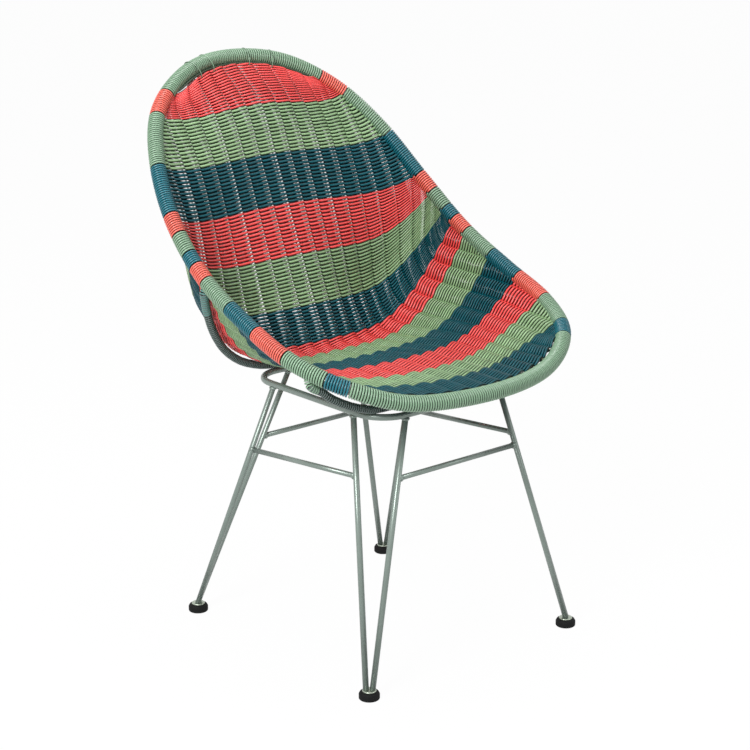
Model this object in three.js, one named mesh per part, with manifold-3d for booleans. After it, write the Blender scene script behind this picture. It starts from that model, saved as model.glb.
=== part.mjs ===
import * as THREE from 'three';
import Module from 'manifold-3d';

// Rim: a closed steel loop, wrapped all round
const rimHalfWidth = 261.5;
const rimHalfDepth = 306.7;
const rimTopHeight = 850;
const rimRadius = 12.5;
const rimCoreRadius = 8;

// Woven shell hung inside the rim, its half thickness over a column of the weave and between two
const crestHalf = 4.2;
const troughHalf = 2.6;
const topInset = 20;
const frontInset = 13.4;
const insetPower = 16;
const edgeStrandRadius = 2.2;

// Columns of the weave, every third of them round a steel stake
const stakeRadius = 1.8;
const columnPitch = 30;
const columnsPerStake = 3;

// Base ring and the two hoops that carry the rim
const ringHalfWidth = 144;
const ringFront = -226.5;
const ringRear = 74.5;
const ringHeight = 398.2;
const ringRadius = 5;
const ringCorner = 48;
const frontHoopSetback = 21.5;
const hoopRadius = 6;
const hoopCoreRadius = 4;

// Legs, two rods each
const rodRadius = 4.5;
const rodSpread = 7;
const frontFootX = 207.2;
const frontFootY = -274.8;
const rearFootX = 199.9;
const rearFootY = 158.8;
const frontRodTopX = 95.5;
const frontRodTopY = -167.5;
const rearRodTopX = 71;
const rearRodTopY = 20;

// Stretchers between neighbouring legs
const stretcherRadius = 4;
const frontStretcherHeight = 309;
const rearStretcherHeight = 288;

// Feet
const padRadius = 15.5;
const padHeight = 11.4;
const discRadius = 10.5;
const discHeight = 2.4;

// Play between touching pieces
const gap = 0.3;

// Half of the rim from the top centre to the front centre, as shares of half width, half depth and rise
const rimShares = [
  [0, 1, 1],
  [0.364, 0.941, 0.971],
  [0.676, 0.82, 0.865],
  [0.856, 0.631, 0.718],
  [0.954, 0.394, 0.543],
  [0.994, 0.102, 0.384],
  [1, -0.21, 0.28],
  [0.981, -0.516, 0.197],
  [0.832, -0.771, 0.126],
  [0.507, -0.922, 0.06],
  [0, -1, 0.05],
];

// Where the colours change, as shares of the way from the top centre to the front centre
const breakShares = [
  0.165, 0.215, 0.313, 0.392, 0.425, 0.457, 0.478, 0.507, 0.566, 0.629, 0.695, 0.769, 0.807,
];

// Middle line of the shell at the inner rows, as shares of the rim's half depth and rise
const keelShares = [
  [0.752, 0.848],
  [0.639, 0.682],
  [0.535, 0.512],
  [0.43, 0.338],
  [0.325, 0.168],
  [0.228, 0.048],
  [0.126, 0.019],
  [-0.09, 0.029],
  [-0.363, 0.056],
  [-0.577, 0.056],
  [-0.781, 0.062],
];

// Squareness of the inner rows, along the depth and in height
const depthPowers = [2.4, 2.7, 3.1, 3.68, 4.19, 4.2, 3.97, 3.43, 2.91, 2.65, 2.6];
const heightPowers = [3.8, 4.4, 4.8, 5.16, 5.34, 4.5, 3.86, 4.21, 3.84, 3.25, 2.9];

// Bow of the inner rows towards the back, a share of half depth, and their lift, a share of the rise
const bowShares = [0.004, 0, 0.02, 0.054, 0.1055, 0.069, 0.0165, 0.0245, 0.0566, 0.076, 0.085];
const liftShares = [
  -0.0223, -0.0139, -0.0174, -0.0171, -0.0188, -0.013, -0.0091, 0.0048, -0.0044, -0.0063, -0.0111,
];

// Half outlines of the hoops: shares of the rim's half width and of the rise to the rim
const rearHoopShares = [
  [1.008, 0.897],
  [0.977, 0.758],
  [0.939, 0.624],
  [0.898, 0.505],
  [0.848, 0.39],
  [0.794, 0.29],
  [0.72, 0.19],
  [0.637, 0.108],
  [0.543, 0.048],
  [0.45, 0.01],
  [0.36, 0],
  [0, 0],
];
const frontHoopShares = [
  [0.996, 0.735],
  [0.978, 0.67],
  [0.914, 0.551],
  [0.863, 0.414],
  [0.809, 0.306],
  [0.755, 0.215],
  [0.699, 0.135],
  [0.62, 0.05],
  [0.55, 0],
  [0, 0],
];
const rearHoopBreakShare = 0.507;
const frontHoopBreakShare = 0.735;

// Subdivision
const rimSides = 8;
const smallSides = 8;
const bandSteps = 2;
const stakeSides = 5;
const strandSides = 6;
const hoopSteps = 24;
const rodSides = 12;
const footSides = 16;
const ringCornerSteps = 5;
const rimSampleSteps = 400;
const strandSteps = 16;
const reachSteps = 12;

const wasm = await Module();
wasm.setup();

const chair = new THREE.Group();
chair.name = 'bistro_chair';

const finishes = {
  coral: [0xd8434b, 0.55, 0],
  sage: [0x86a878, 0.55, 0],
  rimSage: [0x8fae98, 0.5, 0],
  teal: [0x0f4f5c, 0.5, 0],
  hoopGrey: [0x4a5c58, 0.55, 0],
  steel: [0x8d9089, 0.4, 0.9],
  paint: [0x5f6b64, 0.35, 0.3],
  disc: [0xa9b3a6, 0.3, 0.8],
  rubber: [0x17181a, 0.8, 0],
};

function add(name, geometry, finish) {
  const [color, roughness, metalness] = finishes[finish];
  const material = new THREE.MeshStandardMaterial({ color, roughness, metalness });
  const mesh = new THREE.Mesh(geometry, material);
  mesh.name = name;
  chair.add(mesh);
}

// Indexed geometry from points and triangles, turned to face outwards
function solid(points, faces) {
  let volume = 0;
  for (const [a, b, c] of faces) {
    volume += points[a].dot(new THREE.Vector3().crossVectors(points[b], points[c]));
  }
  const index = faces.flatMap(([a, b, c]) => (volume < 0 ? [a, c, b] : [a, b, c]));
  const geometry = new THREE.BufferGeometry();
  const flat = points.flatMap((p) => [p.x, p.y, p.z]);
  geometry.setAttribute('position', new THREE.Float32BufferAttribute(flat, 3));
  geometry.setIndex(index);
  return geometry;
}

// Walls between successive rings of points, with flat ends unless the rings close on themselves
function loft(rings, looped = false) {
  const sides = rings[0].length;
  const count = rings.length;
  const points = rings.flat();
  const faces = [];
  for (let i = 0; i < (looped ? count : count - 1); i++) {
    for (let k = 0; k < sides; k++) {
      const a = i * sides + k;
      const b = i * sides + ((k + 1) % sides);
      const c = ((i + 1) % count) * sides + ((k + 1) % sides);
      const d = ((i + 1) % count) * sides + k;
      faces.push([a, b, c], [a, c, d]);
    }
  }
  if (!looped) {
    const last = (count - 1) * sides;
    for (let k = 1; k < sides - 1; k++) {
      faces.push([0, k + 1, k], [last, last + k, last + k + 1]);
    }
  }
  return solid(points, faces);
}

// Hollow sleeve between outer and inner rings
function sleeve(outer, inner) {
  const sides = outer[0].length;
  const count = outer.length;
  const points = [...outer.flat(), ...inner.flat()];
  const shift = count * sides;
  const faces = [];
  for (let i = 0; i < count - 1; i++) {
    for (let k = 0; k < sides; k++) {
      const a = i * sides + k;
      const b = i * sides + ((k + 1) % sides);
      faces.push([a, b, b + sides], [a, b + sides, a + sides]);
      faces.push([shift + a, shift + b + sides, shift + b]);
      faces.push([shift + a, shift + a + sides, shift + b + sides]);
    }
  }
  for (let k = 0; k < sides; k++) {
    const next = (k + 1) % sides;
    const end = (count - 1) * sides;
    faces.push([k, shift + k, shift + next], [k, shift + next, next]);
    faces.push([end + k, end + next, shift + end + next]);
    faces.push([end + k, shift + end + next, shift + end + k]);
  }
  return solid(points, faces);
}

function toManifold(geometry) {
  const mesh = new wasm.Mesh({
    numProp: 3,
    vertProperties: new Float32Array(geometry.attributes.position.array),
    triVerts: new Uint32Array(geometry.index.array),
  });
  return new wasm.Manifold(mesh);
}

function fromManifold(manifold) {
  const mesh = manifold.getMesh();
  const geometry = new THREE.BufferGeometry();
  geometry.setAttribute('position', new THREE.Float32BufferAttribute(mesh.vertProperties, 3));
  geometry.setIndex(Array.from(mesh.triVerts));
  return geometry;
}

// The rim and the shell rise from the level where the hoops' centres cross the base ring
const hoopBottom = ringHeight + ringRadius + hoopRadius * 1.02 + gap;
const rise = rimTopHeight - hoopBottom;

// Rim centreline
const half = rimShares.map(
  ([x, y, z]) => new THREE.Vector3(x * rimHalfWidth, y * rimHalfDepth, hoopBottom + z * rise),
);
const mirror = (p) => new THREE.Vector3(-p.x, p.y, p.z);
const rimLoop = [...half, ...half.slice(1, -1).reverse().map(mirror)];
const rimCurve = new THREE.CatmullRomCurve3(rimLoop, true, 'catmullrom', 0.5);
const hubShare = 0.344;

// Station at a share of the way from top centre to front centre, negative on the right side
const rimPoint = (share) => rimCurve.getPoint((share / 2 + 1) % 1);

function rimFrame(share) {
  const tangent = rimCurve.getTangent((share / 2 + 1) % 1).normalize();
  const toHub = new THREE.Vector3(0, 0, hoopBottom + rise * hubShare).sub(rimPoint(share));
  const inward = toHub.addScaledVector(tangent, -toHub.dot(tangent)).normalize();
  const across = new THREE.Vector3().crossVectors(tangent, inward);
  return { tangent, inward, across };
}

function rimRing(share, radius) {
  const centre = rimPoint(share);
  const { inward, across } = rimFrame(share);
  return Array.from({ length: rimSides }, (_, k) => {
    const angle = ((k + 0.5) / rimSides) * 2 * Math.PI;
    return centre
      .clone()
      .addScaledVector(inward, radius * Math.cos(angle))
      .addScaledVector(across, radius * Math.sin(angle));
  });
}

// Stations shared by the core and the wraps, so that their facets stay parallel
const corner = 1 / Math.cos(Math.PI / rimSides);
const inSegment = (from, to, steps) =>
  Array.from({ length: steps + 1 }, (_, i) => from + ((to - from) * i) / steps);
const segmentSteps = (from, to) => Math.max(2, Math.round((to - from) * 42));
const gapShare = gap / 2 / (rimCurve.getLength() / 2);

function segmentShares(from, to) {
  const shares = inSegment(from, to, segmentSteps(from, to));
  shares[0] += gapShare;
  shares[shares.length - 1] -= gapShare;
  return shares;
}

function rimSleeve(from, to) {
  const shares = segmentShares(from, to);
  const outer = shares.map((share) => rimRing(share, rimRadius));
  const inner = shares.map((share) => rimRing(share, (rimCoreRadius + gap) * corner));
  return sleeve(outer, inner);
}

// Solid stretch of rim with the play added, used to clear the wraps of other pieces
function rimClearance(from, to) {
  const shares = inSegment(from - gapShare, to + gapShare, segmentSteps(from, to));
  return loft(shares.map((share) => rimRing(share, (rimRadius + gap) * corner)));
}

const lastShare = breakShares[breakShares.length - 1];
const returning = breakShares.map((share) => 2 - share).reverse();
const limits = [-breakShares[0], ...breakShares, ...returning];
const coreShares = limits.slice(0, -1).flatMap((from, i) => {
  const to = limits[i + 1];
  return inSegment(from, to, segmentSteps(from, to)).slice(0, -1);
});
add('rim_core', loft(coreShares.map((share) => rimRing(share, rimCoreRadius)), true), 'steel');
add('rim_wrap_back', rimSleeve(-breakShares[0], breakShares[0]), 'rimSage');
add('rim_wrap_front', rimSleeve(lastShare, 2 - lastShare), 'rimSage');

// A row of the weave, u from -1 at the right side to 1 at the left side
function rowPoint(row, u) {
  const side = Math.abs(u);
  if (row === 0 || row === breakShares.length - 1) {
    const top = row === 0;
    const share = top ? breakShares[0] * side : 1 - (1 - lastShare) * side;
    const inset = (top ? topInset : frontInset) * (1 - side ** insetPower);
    const point = rimPoint(share).addScaledVector(rimFrame(share).inward, inset);
    return u < 0 ? mirror(point) : point;
  }
  const end = rimPoint(breakShares[row]);
  const keel = keelShares[row - 1];
  const hump = 4 * side ** 2 * (1 - side ** 2);
  const depth = keel[0] * rimHalfDepth - end.y;
  const drop = hoopBottom + keel[1] * rise - end.z;
  return new THREE.Vector3(
    end.x * u,
    end.y + depth * (1 - side ** depthPowers[row - 1]) + bowShares[row - 1] * rimHalfDepth * hump,
    end.z + drop * (1 - side ** heightPowers[row - 1]) + liftShares[row - 1] * rise * hump,
  );
}

const rowCount = breakShares.length;
const columnCurve = (u) =>
  new THREE.CatmullRomCurve3(
    breakShares.map((_, row) => rowPoint(row, u)),
    false,
    'catmullrom',
    0.5,
  );

// Point on the middle surface, s counting rows from the top edge
function shellPoint(s, u) {
  return columnCurve(u).getPoint(s / (rowCount - 1));
}

const nudge = 0.002;
function shellNormal(s, u) {
  const across = shellPoint(s, u + nudge).sub(shellPoint(s, u - nudge));
  const low = Math.max(0, s - nudge);
  const high = Math.min(rowCount - 1, s + nudge);
  const along = shellPoint(high, u).sub(shellPoint(low, u));
  return across.cross(along).normalize();
}

// Point beside the middle surface, off it towards the back or the underside
function skin(s, u, offset) {
  return shellPoint(s, u).addScaledVector(shellNormal(s, u), offset);
}

const rimSamples = inSegment(0, 1, rimSampleSteps).map(rimPoint);
function rimDistance(point) {
  const p = point.x < 0 ? mirror(point) : point;
  let best = Infinity;
  for (let i = 0; i < rimSamples.length - 1; i++) {
    const a = rimSamples[i];
    const edge = rimSamples[i + 1].clone().sub(a);
    const t = Math.min(1, Math.max(0, p.clone().sub(a).dot(edge) / edge.lengthSq()));
    best = Math.min(best, a.clone().addScaledVector(edge, t).distanceTo(p));
  }
  return best;
}

// How far out a row runs before it is inside the wrap
const buried = (rimRadius + rimCoreRadius + gap) / 2;
function rowReach(s) {
  let low = 0.5;
  let high = 1;
  for (let i = 0; i < reachSteps; i++) {
    const mid = (low + high) / 2;
    const near = Math.min(...[-1, 0, 1].map((side) => rimDistance(skin(s, mid, side * troughHalf))));
    if (near > buried) low = mid;
    else high = mid;
  }
  return low;
}

// Half a row from the middle outwards: lengths along it and where each is
const rowSamples = 40;
function rowTable(s) {
  const shares = inSegment(0, 1, rowSamples);
  const points = shares.map((u) => shellPoint(s, u));
  const lengths = [0];
  for (let i = 1; i <= rowSamples; i++) lengths.push(lengths[i - 1] + points[i].distanceTo(points[i - 1]));
  return { shares, lengths };
}

function interpolate(value, from, to) {
  const i = from.findIndex((edge) => edge >= value);
  if (i < 0) return to[to.length - 1];
  if (i === 0) return to[0];
  return THREE.MathUtils.lerp(to[i - 1], to[i], (value - from[i - 1]) / (from[i] - from[i - 1]));
}

// The weave swells over each column and thins out halfway to the next one
const bandEdge = 0.005;
function weaveBand(band) {
  const stations = inSegment(band + bandEdge, band + 1 - bandEdge, bandSteps).map((s) => {
    return { s, reach: rowReach(s), ...rowTable(s) };
  });
  const runs = stations.map(({ reach, shares, lengths }) => interpolate(reach, shares, lengths));
  const folds = Math.floor((2 * Math.min(...runs)) / columnPitch - 0.5);
  const rowSteps = 2 * folds + 2;
  const wide = rowSteps + 1;
  const faces = [];
  const points = [];
  for (const side of [1, -1]) {
    for (const { s, reach, shares, lengths } of stations) {
      for (let fold = -folds - 1; fold <= folds + 1; fold++) {
        const last = Math.abs(fold) > folds;
        const out = last ? reach : interpolate((Math.abs(fold) * columnPitch) / 2, lengths, shares);
        const thick = !last && fold % 2 === 0 ? crestHalf : troughHalf;
        points.push(skin(s, Math.sign(fold) * out, side * thick));
      }
    }
  }
  const under = stations.length * wide;
  for (let i = 0; i < bandSteps; i++) {
    for (let k = 0; k < rowSteps; k++) {
      const a = i * wide + k;
      faces.push([a, a + 1, a + wide + 1], [a, a + wide + 1, a + wide]);
      faces.push([under + a, under + a + wide + 1, under + a + 1]);
      faces.push([under + a, under + a + wide, under + a + wide + 1]);
    }
  }
  for (let k = 0; k < rowSteps; k++) {
    const last = bandSteps * wide + k;
    faces.push([k, under + k, under + k + 1], [k, under + k + 1, k + 1]);
    faces.push([last, last + 1, under + last + 1], [last, under + last + 1, under + last]);
  }
  for (let i = 0; i < bandSteps; i++) {
    const left = i * wide;
    const right = left + rowSteps;
    faces.push([left, left + wide, under + left + wide], [left, under + left + wide, under + left]);
    faces.push([right, under + right, under + right + wide], [right, under + right + wide, right + wide]);
  }
  return solid(points, faces);
}

// Steel stakes inside the weave, each a fixed number of columns from the next
const stakeNames = ['right_outer', 'right_inner', 'middle', 'left_inner', 'left_outer'];
const stakeClear = rimRadius + stakeRadius + gap * 2;

function stakeStations(column) {
  return inSegment(0, rowCount - 1, (rowCount - 1) * bandSteps)
    .map((s) => {
      const { shares, lengths } = rowTable(s);
      const u = Math.sign(column) * interpolate(Math.abs(column) * columnPitch, lengths, shares);
      return { s, u, centre: shellPoint(s, u) };
    })
    .filter(({ u, centre }) => Math.abs(u) < 1 && rimDistance(centre) > stakeClear);
}

function stakeRings(stations, radius) {
  return stations.map(({ s, u, centre }, k) => {
    const ahead = stations[Math.min(k + 1, stations.length - 1)].centre;
    const behind = stations[Math.max(k - 1, 0)].centre;
    const normal = shellNormal(s, u);
    const sideways = ahead.clone().sub(behind).cross(normal).normalize();
    return Array.from({ length: stakeSides }, (_, j) => {
      const angle = ((j + 0.5) / stakeSides) * 2 * Math.PI;
      return centre
        .clone()
        .addScaledVector(normal, radius * Math.cos(angle))
        .addScaledVector(sideways, radius * Math.sin(angle));
    });
  });
}

// Passage left in the weave for a stake, longer than it at both ends
function stakePassage(stations) {
  const rings = stakeRings(stations, stakeRadius + gap / Math.cos(Math.PI / stakeSides));
  for (const [end, next] of [[0, 1], [stations.length - 1, stations.length - 2]]) {
    const beyond = stations[end].centre.clone().sub(stations[next].centre).setLength(gap);
    rings[end].forEach((point) => point.add(beyond));
  }
  return toManifold(loft(rings));
}

const passages = [];
stakeNames.forEach((label, i) => {
  const stations = stakeStations(columnsPerStake * (i - (stakeNames.length - 1) / 2));
  passages.push(stakePassage(stations));
  add(`stake_${label}`, loft(stakeRings(stations, stakeRadius)), 'steel');
});

// Each colour band of the weave is one piece with the turns of its own strands round the rim
const bandColours = ['coral', 'sage', 'teal'];
for (let band = 0; band < rowCount - 1; band++) {
  const from = breakShares[band];
  const to = breakShares[band + 1];
  let piece = toManifold(weaveBand(band));
  for (const passage of passages) piece = piece.subtract(passage);
  const before = band > 0 ? breakShares[band - 1] : -from;
  const after = band < rowCount - 2 ? breakShares[band + 2] : 2 - to;
  for (const [a, b] of [[before, from], [to, after], [2 - from, 2 - before], [2 - after, 2 - to]]) {
    piece = piece.subtract(toManifold(rimClearance(a, b)));
  }
  piece = piece.add(toManifold(rimSleeve(from, to)));
  piece = piece.add(toManifold(rimSleeve(2 - to, 2 - from)));
  const colour = bandColours[band % bandColours.length];
  add(`weave_band_${String(band + 1).padStart(2, '0')}_${colour}`, fromManifold(piece), colour);
}

// Rod of round section swept along a curve
function circle(radius, sides, turned = 0) {
  const outline = new THREE.Shape();
  for (let k = 0; k < sides; k++) {
    const angle = ((k + turned) / sides) * 2 * Math.PI;
    const x = radius * Math.cos(angle);
    const y = radius * Math.sin(angle);
    if (k === 0) outline.moveTo(x, y);
    else outline.lineTo(x, y);
  }
  outline.closePath();
  return outline;
}

function sweep(curve, steps, outline) {
  return new THREE.ExtrudeGeometry(outline, { steps, extrudePath: curve, bevelEnabled: false });
}

// Strand along the top edge, just inside the rim
const strandReach = breakShares[0] * 0.84;
const strandInset = rimRadius / corner + gap * 1.7 + edgeStrandRadius;
const strandPoints = inSegment(-strandReach, strandReach, strandSteps).map((share) => {
  return rimPoint(share).addScaledVector(rimFrame(share).inward, strandInset);
});
const strandCurve = new THREE.CatmullRomCurve3(strandPoints, false, 'catmullrom', 0.5);
add('top_edge_strand', sweep(strandCurve, strandSteps, circle(edgeStrandRadius, strandSides)), 'sage');


// Hoops: steel inside, wrapped outside
function hoopCurve(shares, ringY, breakShare) {
  const top = rimPoint(breakShare);
  const side = shares.map(([x, lift]) => {
    return new THREE.Vector3(
      x * top.x,
      THREE.MathUtils.lerp(ringY, top.y, lift),
      THREE.MathUtils.lerp(hoopBottom, top.z, lift),
    );
  });
  const points = [...side.map(mirror), ...side.slice(0, -1).reverse()];
  return new THREE.CatmullRomCurve3(points, false, 'centripetal');
}

for (const [label, shares, ringY, breakShare] of [
  ['rear', rearHoopShares, ringRear, rearHoopBreakShare],
  ['front', frontHoopShares, ringFront + frontHoopSetback, frontHoopBreakShare],
]) {
  const curve = hoopCurve(shares, ringY, breakShare);
  const wrap = circle(hoopRadius, smallSides, 0.5);
  wrap.holes.push(circle((hoopCoreRadius + gap) / Math.cos(Math.PI / smallSides), smallSides, 0.5));
  add(`${label}_hoop_core`, sweep(curve, hoopSteps, circle(hoopCoreRadius, smallSides, 0.5)), 'steel');
  add(`${label}_hoop_wrap`, sweep(curve, hoopSteps, wrap), 'hoopGrey');
}

// Base ring, a rounded rectangle of bent rod
const ringPath = [];
for (const [sx, sy, start] of [[1, 1, 0], [-1, 1, 1], [-1, -1, 2], [1, -1, 3]]) {
  const x = sx * (ringHalfWidth - ringCorner);
  const y = sy > 0 ? ringRear - ringCorner : ringFront + ringCorner;
  for (const turn of inSegment(0, 1, ringCornerSteps)) {
    const angle = ((start + turn) * Math.PI) / 2;
    const spoke = new THREE.Vector3(Math.cos(angle), Math.sin(angle), 0);
    const centre = new THREE.Vector3(x, y, ringHeight).addScaledVector(spoke, ringCorner);
    ringPath.push({ centre, spoke });
  }
}
const ringRings = ringPath.map(({ centre, spoke }) =>
  Array.from({ length: smallSides }, (_, k) => {
    const angle = ((k + 0.5) / smallSides) * 2 * Math.PI;
    const point = centre.clone().addScaledVector(spoke, ringRadius * Math.cos(angle));
    point.z += ringRadius * Math.sin(angle);
    return point;
  }),
);
add('base_ring', loft(ringRings, true), 'paint');

// Leaning rod with level ends
const discTop = padHeight + gap + discHeight;
const rodBottom = discTop + gap;
const rodTop = ringHeight - ringRadius - gap;
function levelRing(centre) {
  return Array.from({ length: rodSides }, (_, k) => {
    const angle = (k / rodSides) * 2 * Math.PI;
    const spoke = new THREE.Vector3(Math.cos(angle), Math.sin(angle), 0);
    return centre.clone().addScaledVector(spoke, rodRadius);
  });
}

function rodAt(rod, height) {
  return rod.foot.clone().lerp(rod.top, (height - rodBottom) / (rodTop - rodBottom));
}

const rods = {};
for (const [side, sx] of [['left', 1], ['right', -1]]) {
  rods[`front_${side}_leg_side_rod`] = {
    foot: new THREE.Vector3(sx * frontFootX, frontFootY + rodSpread, rodBottom),
    top: new THREE.Vector3(sx * ringHalfWidth, frontRodTopY, rodTop),
  };
  rods[`front_${side}_leg_front_rod`] = {
    foot: new THREE.Vector3(sx * (frontFootX - rodSpread), frontFootY, rodBottom),
    top: new THREE.Vector3(sx * frontRodTopX, ringFront, rodTop),
  };
  rods[`rear_${side}_leg_side_rod`] = {
    foot: new THREE.Vector3(sx * rearFootX, rearFootY - rodSpread, rodBottom),
    top: new THREE.Vector3(sx * ringHalfWidth, rearRodTopY, rodTop),
  };
  rods[`rear_${side}_leg_rear_rod`] = {
    foot: new THREE.Vector3(sx * (rearFootX - rodSpread), rearFootY, rodBottom),
    top: new THREE.Vector3(sx * rearRodTopX, ringRear, rodTop),
  };
}
for (const [name, rod] of Object.entries(rods)) {
  add(name, loft([levelRing(rod.foot), levelRing(rod.top)]), 'paint');
}

// Stretcher between two rods, its ends cut parallel to them
function stretcher(near, far) {
  const ends = [[near, far], [far, near]].map(([here, there]) => {
    const centre = rodAt(here.rod, here.height);
    const heading = rodAt(there.rod, there.height).sub(centre).normalize();
    const lean = here.rod.top.clone().sub(here.rod.foot).normalize();
    const start = centre.addScaledVector(heading, rodRadius + gap * 1.5);
    const sideways = new THREE.Vector3().crossVectors(lean, heading).normalize();
    const upright = lean.multiplyScalar(1 / Math.sqrt(1 - lean.dot(heading) ** 2));
    return { start, sideways, upright };
  });
  const flip = ends[0].sideways.dot(ends[1].sideways) < 0 ? -1 : 1;
  ends[1].sideways.multiplyScalar(flip);
  const rings = ends.map(({ start, sideways, upright }) =>
    Array.from({ length: rodSides }, (_, k) => {
      const angle = (k / rodSides) * 2 * Math.PI;
      return start
        .clone()
        .addScaledVector(sideways, stretcherRadius * Math.cos(angle))
        .addScaledVector(upright, stretcherRadius * Math.sin(angle));
    }),
  );
  return loft(rings);
}

const joint = (name) => ({
  rod: rods[name],
  height: name.startsWith('front') ? frontStretcherHeight : rearStretcherHeight,
});
for (const [name, near, far] of [
  ['front_stretcher', 'front_left_leg_front_rod', 'front_right_leg_front_rod'],
  ['rear_stretcher', 'rear_left_leg_rear_rod', 'rear_right_leg_rear_rod'],
  ['left_stretcher', 'front_left_leg_side_rod', 'rear_left_leg_side_rod'],
  ['right_stretcher', 'front_right_leg_side_rod', 'rear_right_leg_side_rod'],
]) {
  add(name, stretcher(joint(near), joint(far)), 'paint');
}

// Feet: a rubber pad and a metal disc on top of it
function turned(profileShares, radius, height, base) {
  const profile = profileShares.map(([r, z]) => new THREE.Vector2(r * radius, z * height));
  const geometry = new THREE.LatheGeometry(profile, footSides);
  geometry.rotateX(Math.PI / 2);
  geometry.translate(0, 0, base);
  return geometry;
}

const padShares = [[0, 0], [0.93, 0], [1, 0.12], [1, 0.7], [0.88, 1], [0, 1]];
const discShares = [[0, 0], [1, 0], [1, 0.7], [0.92, 1], [0, 1]];
const feet = [
  ['front', frontFootX, frontFootY, 1],
  ['rear', rearFootX, rearFootY, -1],
];
for (const [side, sx] of [['left', 1], ['right', -1]]) {
  for (const [end, x, y, back] of feet) {
    const place = [sx * (x - rodSpread / 2), y + (back * rodSpread) / 2, 0];
    const pad = turned(padShares, padRadius, padHeight, 0);
    const disc = turned(discShares, discRadius, discHeight, padHeight + gap);
    add(`${end}_${side}_foot_pad`, pad.translate(...place), 'rubber');
    add(`${end}_${side}_foot_disc`, disc.translate(...place), 'disc');
  }
}

export default chair;
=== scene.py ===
import math

import bmesh
import bpy
import numpy as np
from mathutils import Matrix, Vector


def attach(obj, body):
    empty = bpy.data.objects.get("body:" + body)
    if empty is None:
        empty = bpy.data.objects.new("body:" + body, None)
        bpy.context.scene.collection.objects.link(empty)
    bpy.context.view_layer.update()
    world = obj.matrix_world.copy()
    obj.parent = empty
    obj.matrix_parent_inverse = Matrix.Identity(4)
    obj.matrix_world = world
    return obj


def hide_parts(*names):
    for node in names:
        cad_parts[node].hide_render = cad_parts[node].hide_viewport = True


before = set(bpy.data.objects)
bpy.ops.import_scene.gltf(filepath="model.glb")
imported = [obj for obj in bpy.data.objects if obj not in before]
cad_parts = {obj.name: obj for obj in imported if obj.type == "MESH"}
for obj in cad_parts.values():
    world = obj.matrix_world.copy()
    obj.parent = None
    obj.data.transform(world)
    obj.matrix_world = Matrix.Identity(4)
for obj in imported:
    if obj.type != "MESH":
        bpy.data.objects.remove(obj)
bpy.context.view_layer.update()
print("frame loaded")

# colours of the finishes, as they look under plain light; the rim colours are the weave's coral, sage and teal
# made paler or brighter, a painted sheen on the rounded rim winding
palette = {
    "coral": "#e23f3d",
    "sage": "#78966b",
    "rimCoral": "#cf5a4c",
    "rimSage": "#728f75",
    "rimTeal": "#0e5a66",
    "teal": "#04464f",
    "hoopGrey": "#4c5a56",
    "binding": "#4b7670",
    "steel": "#8d9089",
    "paint": "#78847d",
    "stakeLight": "#f4f5ec",
    "stakeDim": "#a3a78f",
    "disc": "#a4ad9f",
    "rubber": "#0b0c0c",
}

# the woven shell, in metres and in shares of the rim's size
shell = {
    "halfWidth": 0.2615,
    "halfDepth": 0.3067,
    "topHeight": 0.85,
    "bottom": 0.40962,
    "rimRadius": 0.0125,
    "topInset": 0.02,
    "frontInset": 0.0134,
    "insetPower": 16,
    "hubShare": 0.344,
    "rim": [
        (0, 1, 1), (0.364, 0.941, 0.971), (0.676, 0.82, 0.865), (0.856, 0.631, 0.718), (0.954, 0.394, 0.543),
        (0.994, 0.102, 0.384), (1, -0.21, 0.28), (0.981, -0.516, 0.197), (0.832, -0.771, 0.126),
        (0.507, -0.922, 0.06), (0, -1, 0.05),
    ],
    "breaks": [0.165, 0.215, 0.313, 0.392, 0.425, 0.457, 0.478, 0.507, 0.566, 0.629, 0.695, 0.769, 0.807],
    "keel": [
        (0.752, 0.848), (0.639, 0.682), (0.535, 0.512), (0.43, 0.338), (0.325, 0.168), (0.228, 0.048),
        (0.126, 0.019), (-0.09, 0.029), (-0.363, 0.056), (-0.577, 0.056), (-0.781, 0.062),
    ],
    "depthPowers": [2.4, 2.7, 3.1, 3.68, 4.19, 4.2, 3.97, 3.43, 2.91, 2.65, 2.6],
    "heightPowers": [3.8, 4.4, 4.8, 5.16, 5.34, 4.5, 3.86, 4.21, 3.84, 3.25, 2.9],
    "bows": [0.004, 0, 0.02, 0.054, 0.1055, 0.069, 0.0165, 0.0245, 0.0566, 0.076, 0.085],
    "lifts": [-0.0223, -0.0139, -0.0174, -0.0171, -0.0188, -0.013, -0.0091, 0.0048, -0.0044, -0.0063, -0.0111],
    "columnPitch": 0.03,
}
rise = shell["topHeight"] - shell["bottom"]
breaks = shell["breaks"]
lastRow = len(breaks) - 1


def cubicBlend(start, end, slope1, slope2, w):
    # from start to end as w goes from 0 to 1, leaving and arriving at the two slopes
    return (start + slope1 * w + (3 * (end - start) - 2 * slope1 - slope2) * w ** 2
            + (2 * (start - end) + slope1 + slope2) * w ** 3)


def padEnds(points):
    # one more point past each end, in line with the last two
    return np.concatenate([[2 * points[0] - points[1]], points, [2 * points[-1] - points[-2]]])


def runLengths(points):
    # how far along the points each one lies
    return np.concatenate([[0], np.cumsum(np.linalg.norm(np.diff(points, axis=0), axis=1))])


def ringCurve(points, t):
    # closed curve through the points, t from 0 to 1
    points = np.asarray(points, float)
    place = np.asarray(t, float) * len(points)
    cell = np.floor(place).astype(int)
    a, b, c, d = [points[(cell + k) % len(points)] for k in (-1, 0, 1, 2)]
    return cubicBlend(b, c, (c - a) / 2, (d - b) / 2, (place - cell)[..., None])


halfRim = [Vector((x * shell["halfWidth"], y * shell["halfDepth"], shell["bottom"] + z * rise))
           for x, y, z in shell["rim"]]
rimLoop = halfRim + [Vector((-p.x, p.y, p.z)) for p in reversed(halfRim[1:-1])]


def rimPoint(share):
    # share 0 is the top centre, 1 the front centre, negative on the right side
    return ringCurve(rimLoop, (np.asarray(share, float) / 2 + 1) % 1)


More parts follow.
